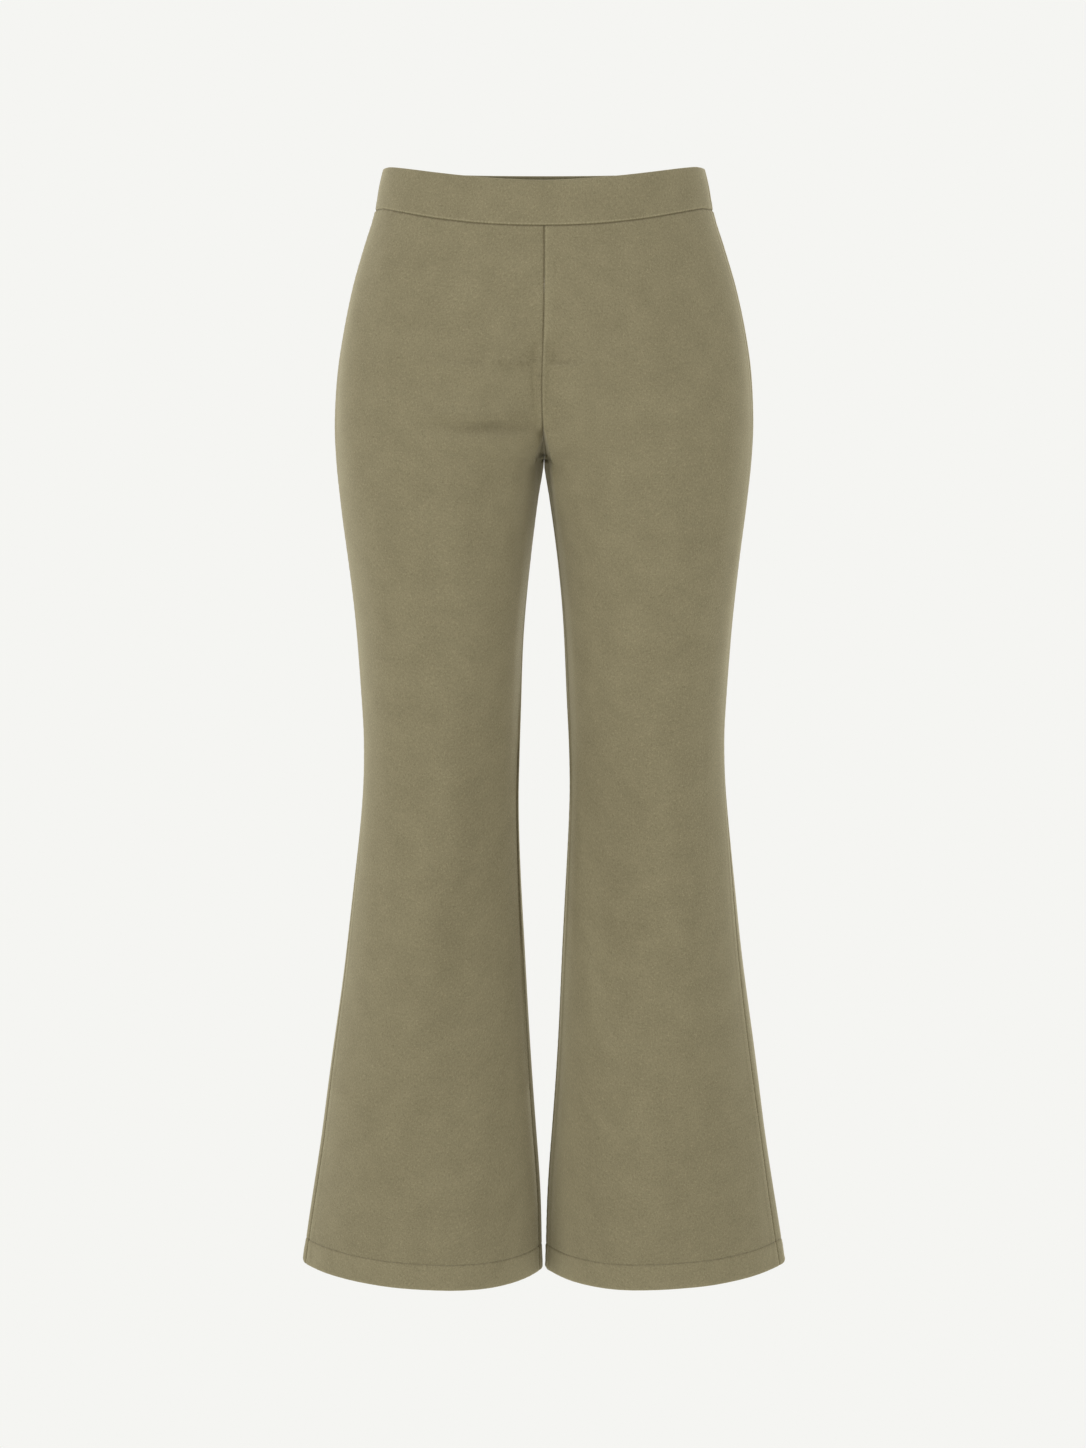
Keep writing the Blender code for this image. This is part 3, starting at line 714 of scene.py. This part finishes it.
def mark_cloth(mesh, grain, corners, painted_light_and_reverse):
    """Gives a mesh the weave's coordinates, in metres, at each corner of its faces, and its points' painted
    light and shade, with the paler reverse inside.
    """
    weave = mesh.uv_layers.new(name="grain")
    weave.data.foreach_set("uv", grain[corners].astype(np.float32).reshape(-1))
    painted_layer = mesh.attributes.new("painted_light_and_reverse", "FLOAT", "POINT")
    painted_layer.data.foreach_set("value", painted_light_and_reverse.astype(np.float32).reshape(-1))


def add_shell(name, outside, inside, grain, painted_light_and_reverse, flipped):
    """A closed shell between two grids of points."""
    rows, columns = outside.shape[:2]
    count = rows * columns
    at = np.arange(count).reshape(rows, columns)
    a, b, c, d = at[:-1, :-1], at[1:, :-1], at[1:, 1:], at[:-1, 1:]
    outer_faces = np.stack([a, b, c, d], -1).reshape(-1, 4)
    inner_faces = np.stack([d, c, b, a], -1).reshape(-1, 4) + count
    border = np.concatenate([at[:, 0], at[-1, 1:], at[-2::-1, -1], at[0, -2:0:-1]])
    after = np.roll(border, -1)
    rim_faces = np.stack([after, border, border + count, after + count], -1)
    faces = np.concatenate([outer_faces, inner_faces, rim_faces])
    if flipped:
        faces = faces[:, ::-1]
    points = np.concatenate([outside.reshape(-1, 3), inside.reshape(-1, 3)])
    made = add_object(name, points.tolist(), faces.tolist())
    both = np.concatenate([grain.reshape(-1, 2)] * 2)
    # The inside takes the paler reverse, partly painted light.
    mark_cloth(made.data, both, faces.reshape(-1), np.stack([painted_light_and_reverse, np.full(painted_light_and_reverse.shape, REVERSE)]))
    return made


def add_tube(name, rings, painted_light_and_reverse, flipped):
    """A closed solid whose cross-section, rings[:, k], has the same points at each station k."""
    count, stations = rings.shape[:2]
    at = np.arange(count * stations).reshape(count, stations)
    beyond = np.roll(at, -1, axis=0)
    faces = np.stack([at[:, :-1], beyond[:, :-1], beyond[:, 1:], at[:, 1:]], -1).reshape(-1, 4)
    polygons = faces.tolist() + [at[::-1, 0].tolist(), at[:, -1].tolist()]
    if flipped:
        polygons = [polygon[::-1] for polygon in polygons]
    made = add_object(name, rings.reshape(-1, 3).tolist(), polygons)
    along = distances(rings[:1], 1)[0]
    around = distances(np.concatenate([rings, rings[:1]]), 0)[0][:-1, :1]
    grain = np.stack(np.broadcast_arrays(along, around), -1).reshape(-1, 2)
    mark_cloth(made.data, grain, np.concatenate(polygons), painted_light_and_reverse)
    return made


# -------- panels
def panel_shell(leg, face, grids, crotch_row):
    """A panel with its folds, seam grooves, allowances and turned-up hem, and the points and ways out of the
    line that its hem's stitches follow."""
    grid, ways = grids[face], panel_ways(leg, face, grids, crotch_row)
    from_waist, from_hem = distances(grid, 0)
    from_side, from_inner = distances(grid, 1)
    lift = seam_lift(from_side, from_waist)
    lift += seam_lift(from_inner, from_waist, INNER_ALLOWANCE_LIFT[leg])
    lift += seam_lift(from_waist, from_side)
    lift += hem_lift(from_hem, from_side, np.minimum(from_side, from_inner))
    lift += wave_outward(grid) * ease(from_waist / WAVE_FROM)
    wall = panel_wall(from_side, from_inner, from_waist, from_hem)
    pressed = panel_creases(face, grid, from_side, from_inner, from_waist, from_hem)

    outside = grid + ways * lift[..., None]
    inside = grid + ways * (lift - wall)[..., None]
    side = SIDES[leg]
    for cloth in (outside, inside):
        cloth[..., 0] = side * np.maximum(cloth[..., 0] * side, MIDDLE_GAP)
        cloth[..., 1] += FACES[face] * pressed
        if face == "front":
            inner_fullness(leg, cloth)
            crotch_hollow(leg, cloth)
            wander(cloth)
        hem_corners(cloth, from_hem)
    onward = side * FACES[face]
    grain = np.stack([PANEL_STARTS[leg, face] - onward * from_side, -from_waist], -1)
    painted_light_and_reverse = panel_painted_light(leg, face, from_side, from_inner, from_waist, from_hem)
    name = f"cloth_{face}_panel_{leg}"
    piece = add_shell(name, outside, inside, grain, painted_light_and_reverse, flipped=(face == "back") == (side < 0))
    stitch_row = grid.shape[0] - len(HEM_STEPS) + HEM_STEPS.index(HEM_TURN_UP)
    return piece, outside[stitch_row], ways[stitch_row]


# -------- the waistband
def band_spacing(length):
    edge = np.array(BAND_EDGE_STEPS)
    return np.concatenate([edge, np.linspace(edge[-1], length, BAND_STATIONS)[1:]])


def band_row(face, drop_at):
    """Points along one piece of the waistband, from the wearer's right side seam to the left one."""
    right = row_points("right", face, drop_at, band_spacing)
    left = row_points("left", face, drop_at, band_spacing)
    return np.concatenate([right[:-1], [(right[-1] + left[-1]) / 2], left[-2::-1]])


def band_profile():
    """The waistband's cross-section, up its outside and down its inside: from where a height is measured, the
    height or the share of the whole height, and how far in the point lies."""
    radius = BAND_WALL / 2
    profile = [("seam", up, 0.0) for up in BAND_EDGE_STEPS]
    profile += [("share", share, 0.0) for share in np.linspace(*BAND_OUTER_SHARES)]
    profile += [("top", down, 0.0) for down in BAND_OUTER_TOP]
    for turn in np.linspace(0, math.pi, BAND_FOLD_POINTS):
        profile.append(("top", radius * (1 - math.sin(turn)), radius * (1 - math.cos(turn))))
    profile += [("top", down, BAND_WALL) for down in BAND_INNER_TOP]
    profile += [("share", share, BAND_WALL) for share in np.linspace(*BAND_INNER_SHARES)]
    profile.append(("seam", 0.0, BAND_WALL))
    return profile


def band_level(base, at):
    """The drops of a line of points along the waistband, as a function of their angle and x."""
    def drop_at(angle, x):
        top, seam = band_top(angle, x), waist_seam(angle, x)
        return {"seam": seam - at, "top": top + at, "share": mix(seam, top, at)}[base]

    return drop_at


def band_shell(face):
    """The front or back piece of the waistband: a doubled strip, folded at its top edge and rolled in at its
    seam."""
    rings, painted_light_and_reverse = [], []
    for base, at, inward in band_profile():
        drop_at = band_level(base, at)
        row, beyond = band_row(face, drop_at), band_row(OTHER[face], drop_at)
        steps = unit(np.diff(np.concatenate([beyond[1:2], row, beyond[-2:-1]]), axis=0))
        along = steps[:-1] + steps[1:]
        away = unit(np.stack([along[:, 1], -along[:, 0], np.zeros(len(row))], -1)) * FACES[face]
        height = {"seam": at, "share": at * BAND_DEPTH, "top": BAND_DEPTH - at}[base]
        from_right, from_left = (measured[0] for measured in distances(row[None], 1))
        near_end = np.minimum(from_right, from_left)
        lift = BAND_PUFF * math.sin(math.pi * height / BAND_DEPTH) - inward
        if inward == 0.0:
            lift += seam_lift(height, from_right)
        groove = SEAM_GROOVE * bump(near_end, SEAM_GROOVE_WIDTH) * (BAND_INNER_GROOVE if inward else 1.0)
        waves = wave_outward(row) * BAND_WAVES * ease(height / BAND_WAVES_FROM)
        rings.append(row + away * (lift - groove + waves)[:, None])
        # A painted highlight in dashes along the band's lower edge, painted shade in its seams, and inside
        # the paler reverse, partly painted light.
        dashes = 1 - BAND_DASH_SHARE + BAND_DASH_SHARE * uneven_wave(BAND_DASHES, from_right)
        shade = painted_highlight(BAND_EDGE_HIGHLIGHT, height) * dashes - bump(height, GROOVE_SHADE) - bump(near_end, GROOVE_SHADE)
        painted_light_and_reverse.append(shade if inward == 0.0 else np.full(len(row), REVERSE * inward / BAND_WALL))
    return add_tube(f"cloth_waistband_{face}", np.stack(rings), np.stack(painted_light_and_reverse), flipped=face == "front")


# -------- hem stitching
def on_line(values, length, distance):
    """The value at a distance along a closed line of points."""
    return np.array([np.interp(distance % length[-1], length, values[:, k]) for k in range(3)])


def add_stitches(name, line, normals):
    """Short stitches of thread, half sunk in the cloth, along a closed line of points."""
    closed = np.concatenate([line, line[:1]])
    ways = np.concatenate([normals, normals[:1]])
    length = length_along(closed)
    count = int(length[-1] / STITCH_PITCH)
    pitch = length[-1] / count
    points, faces = [], []
    for stitch in range(count):
        base = len(points)
        for share in np.linspace(0.0, 1.0, STITCH_SLICES + 1):
            where = stitch * pitch + STITCH_LENGTH * share
            up = unit(on_line(ways, length, where))
            ahead = on_line(closed, length, where + STITCH_LOOK)
            beside = np.cross(up, unit(ahead - on_line(closed, length, where - STITCH_LOOK)))
            swell = math.sin(math.pi * min(max(share, STITCH_END), 1 - STITCH_END))
            radius = STITCH_RADIUS * mix(STITCH_THINNEST, 1.0, swell)
            raised = STITCH_RADIUS * (STITCH_RISE * swell - STITCH_SUNK)
            middle = on_line(closed, length, where) + up * raised
            for s in range(STITCH_SIDES):
                turn = 2 * math.pi * s / STITCH_SIDES
                points.append(middle + radius * (math.cos(turn) * beside + math.sin(turn) * up))
        last = base + STITCH_SLICES * STITCH_SIDES
        for ring in range(base, last, STITCH_SIDES):
            for s in range(STITCH_SIDES):
                a, b = ring + s, ring + (s + 1) % STITCH_SIDES
                faces.append((a, a + STITCH_SIDES, b + STITCH_SIDES, b))
        faces.append(tuple(range(base, base + STITCH_SIDES)))
        faces.append(tuple(reversed(range(last, last + STITCH_SIDES))))
    return add_object(name, [point.tolist() for point in points], faces)


# -------- materials
class Nodes:
    """A new material, whose shader nodes it adds and joins."""

    def __init__(self, name, shader_values):
        self.material = bpy.data.materials.new(name)
        self.material.use_nodes = True
        self.tree = self.material.node_tree
        self.shader = self.tree.nodes["Principled BSDF"]
        for key, value in shader_values.items():
            self.shader.inputs[key].default_value = value

    def add(self, kind, values=None, links=None, **settings):
        """A new node with some of its settings, its sockets' values and what they are linked to."""
        node = self.tree.nodes.new(kind)
        for key, value in settings.items():
            setattr(node, key, value)
        for key, value in (values or {}).items():
            node.inputs[key].default_value = value
        for key, socket in (links or {}).items():
            self.tree.links.new(socket, node.inputs[key])
        return node

    def math(self, operation, values=None, links=None, clamped=False):
        node = self.add("ShaderNodeMath", values, links, operation=operation, use_clamp=clamped)
        return node.outputs[0]

    def total(self, start, *parts):
        """The sum of some sockets, each times its share."""
        total = None
        for socket, share in parts:
            if total is None:
                total = self.math("MULTIPLY_ADD", {1: share, 2: start}, {0: socket})
            else:
                total = self.math("MULTIPLY_ADD", {1: share}, {0: socket, 2: total})
        return total

    def roughen(self, height, strength, distance):
        """Tilts the surface's light as small heights would."""
        relief = self.add("ShaderNodeBump", {"Strength": strength, "Distance": distance}, {"Height": height})
        self.tree.links.new(relief.outputs["Normal"], self.shader.inputs["Normal"])


def mapped(nodes, where, **values):
    return nodes.add("ShaderNodeMapping", values, {"Vector": where}).outputs[0]


def noise(nodes, where, scale, detail, roughness=0.55):
    values = {"Scale": scale, "Detail": detail, "Roughness": roughness}
    return nodes.add("ShaderNodeTexNoise", values, {"Vector": where}).outputs["Fac"]


def curls_of_fibre(nodes, where, curls):
    """Short thin curls, like fibres brushed up out of the cloth: the lines where a noise crosses its middle
    value, broken up by a second noise."""
    moved = mapped(nodes, where, Location=(curls.shift, -curls.shift, 0.0))
    crossing = nodes.math("SUBTRACT", {1: 0.5}, {0: noise(nodes, moved, curls.scale, 0.0)})
    away = nodes.math("ABSOLUTE", None, {0: crossing})
    line = nodes.math("MULTIPLY_ADD", {1: -CURL_THIN, 2: 1.0}, {0: away}, clamped=True)
    breaks = noise(nodes, moved, CURL_BREAK_SCALE * curls.scale, 1.0)
    kept = nodes.math("MULTIPLY_ADD", {1: CURL_KEPT, 2: -CURL_BROKEN}, {0: breaks}, clamped=True)
    return nodes.math("MULTIPLY", None, {0: line, 1: kept})


def cloth_material():
    """Brushed stretch twill, unevenly dyed: a fine diagonal weave under a soft nap with curled fibres, with
    painted highlights and painted shade read from the mesh.
    """
    nodes = Nodes("olive_brushed_twill", CLOTH_SHADER)
    grain = nodes.add("ShaderNodeUVMap", uv_map="grain").outputs["UV"]
    twill = {"Scale": WEAVE_SCALE, "Distortion": 1.2, "Detail": 1.0}
    tilted = mapped(nodes, grain, Rotation=(0, 0, WEAVE_ANGLE))
    weave = nodes.add("ShaderNodeTexWave", twill, {"Vector": tilted}).outputs["Fac"]
    cloud = noise(nodes, grain, CLOUD_SCALE, 3.0)
    nap = noise(nodes, grain, NAP_SCALE, 2.0, 0.6)
    fibre = noise(nodes, mapped(nodes, grain, Scale=FIBRE_STRETCH), FIBRE_SCALE, 2.0, 0.6)
    painted_light_and_reverse = nodes.add("ShaderNodeAttribute", attribute_name="painted_light_and_reverse").outputs["Fac"]
    pale = curls_of_fibre(nodes, grain, PALE_CURLS)
    dark = curls_of_fibre(nodes, grain, DARK_CURLS)

    # Its paleness also carries the painted light and shade on the mesh: highlights beside the seams, along
    # the inseam and on the hem, shade in the seams.
    paleness = nodes.total(SHADE_START, (cloud, 0.24), (nap, 0.18), (fibre, 0.34), (pale, 0.20),
                           (dark, -0.18), (painted_light_and_reverse, 0.30))
    ramp = nodes.add("ShaderNodeValToRGB", None, {"Fac": paleness})
    first, last = ramp.color_ramp.elements
    middle = ramp.color_ramp.elements.new(OLIVE_AT)
    first.position, first.color = 0.0, DARK_OLIVE
    middle.color = OLIVE
    last.position, last.color = PALE_OLIVE_AT, PALE_OLIVE
    nodes.tree.links.new(ramp.outputs["Color"], nodes.shader.inputs["Base Color"])

    height = nodes.total(0.0, (weave, 0.25), (nap, 0.45), (fibre, 0.5), (pale, 0.5))
    nodes.roughen(height, strength=0.55, distance=0.00035)
    return nodes.material


def thread_material():
    nodes = Nodes("olive_thread", THREAD_SHADER)
    twist = nodes.add("ShaderNodeTexWave", {"Scale": 900.0, "Distortion": 0.0}).outputs["Fac"]
    nodes.roughen(twist, strength=0.4, distance=0.0001)
    return nodes.material


# -------- stage
def add_floor():
    """A wide pale floor that glows in the backdrop's colour."""
    corners = [(-1, -1), (1, -1), (1, 1), (-1, 1)]
    points = [(x * FLOOR_REACH, y * FLOOR_REACH, FLOOR_LEVEL) for x, y in corners]
    floor = add_object("floor", points, [(0, 1, 2, 3)])
    nodes = Nodes("pale_floor", {})
    glow = nodes.add("ShaderNodeEmission", {"Color": BACKDROP, "Strength": 1.0})
    nodes.tree.links.new(glow.outputs[0], nodes.tree.nodes["Material Output"].inputs["Surface"])
    floor.data.materials.append(nodes.material)


def add_world():
    """The backdrop's colour to the eye, and a softer pale light to the cloth."""
    world = bpy.data.worlds.new("studio")
    bpy.context.scene.world = world
    world.use_nodes = True
    tree = world.node_tree
    seen, lit = tree.nodes["Background"], tree.nodes.new("ShaderNodeBackground")
    for background, colour, strength in ((seen, BACKDROP, 1.0), (lit, WORLD_TINT, WORLD_LIGHT)):
        background.inputs["Color"].default_value = colour
        background.inputs["Strength"].default_value = strength
    path = tree.nodes.new("ShaderNodeLightPath")
    blend = tree.nodes.new("ShaderNodeMixShader")
    tree.links.new(path.outputs["Is Camera Ray"], blend.inputs[0])
    tree.links.new(lit.outputs[0], blend.inputs[1])
    tree.links.new(seen.outputs[0], blend.inputs[2])
    tree.links.new(blend.outputs[0], tree.nodes["World Output"].inputs["Surface"])


def add_lights():
    """Large soft lights, all turned to the middle of the garment."""
    for light in LIGHTS:
        lamp = bpy.data.lights.new(light.name, "AREA")
        lamp.shape = "RECTANGLE"
        lamp.size, lamp.size_y = light.size
        lamp.energy = light.watts
        lamp.color = LIGHT_TINT
        made = link(bpy.data.objects.new(light.name, lamp))
        made.location = light.at
        x, y, z = np.array(LIGHTS_AIM) - np.array(light.at)
        made.rotation_euler = (math.atan2(math.hypot(x, y), -z), 0.0, math.atan2(-x, y))


def add_camera():
    camera = bpy.data.cameras.new("camera")
    camera.lens = CAMERA_LENS
    camera.clip_end = CAMERA_REACH
    made = link(bpy.data.objects.new("camera", camera))
    made.location = CAMERA_AT
    made.rotation_euler = (math.pi / 2 - CAMERA_PITCH, 0.0, 0.0)
    bpy.context.scene.camera = made


# -------- putting it together
def dress():
    """Makes every piece of the garment, hides the solid it replaces and gives it its material."""
    cloth, thread = cloth_material(), thread_material()
    hems = {}
    for leg in SIDES:
        grids = {}
        for face in FACES:
            grids[face], crotch_row = panel_grid(leg, face)
        for face in FACES:
            piece, line, normals = panel_shell(leg, face, grids, crotch_row)
            hems[leg, face] = (line, normals)
            piece.data.materials.append(cloth)
            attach(piece, "root")
            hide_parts(f"{face}_panel_{leg}")
    for face in FACES:
        piece = band_shell(face)
        piece.data.materials.append(cloth)
        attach(piece, "root")
        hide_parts(f"waistband_{face}")
    for leg in SIDES:
        (front, front_ways), (back, back_ways) = hems[leg, "front"], hems[leg, "back"]
        line = np.concatenate([front[:-1], back[:0:-1]])
        ways = np.concatenate([front_ways[:-1], back_ways[:0:-1]])
        stitches = add_stitches(f"hem_stitches_{leg}", line, ways)
        stitches.data.materials.append(thread)
        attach(stitches, "root")


dress()
add_floor()
add_world()
add_lights()
add_camera()
bpy.context.scene.view_settings.view_transform = "Standard"
bpy.context.scene.view_settings.look = "None"
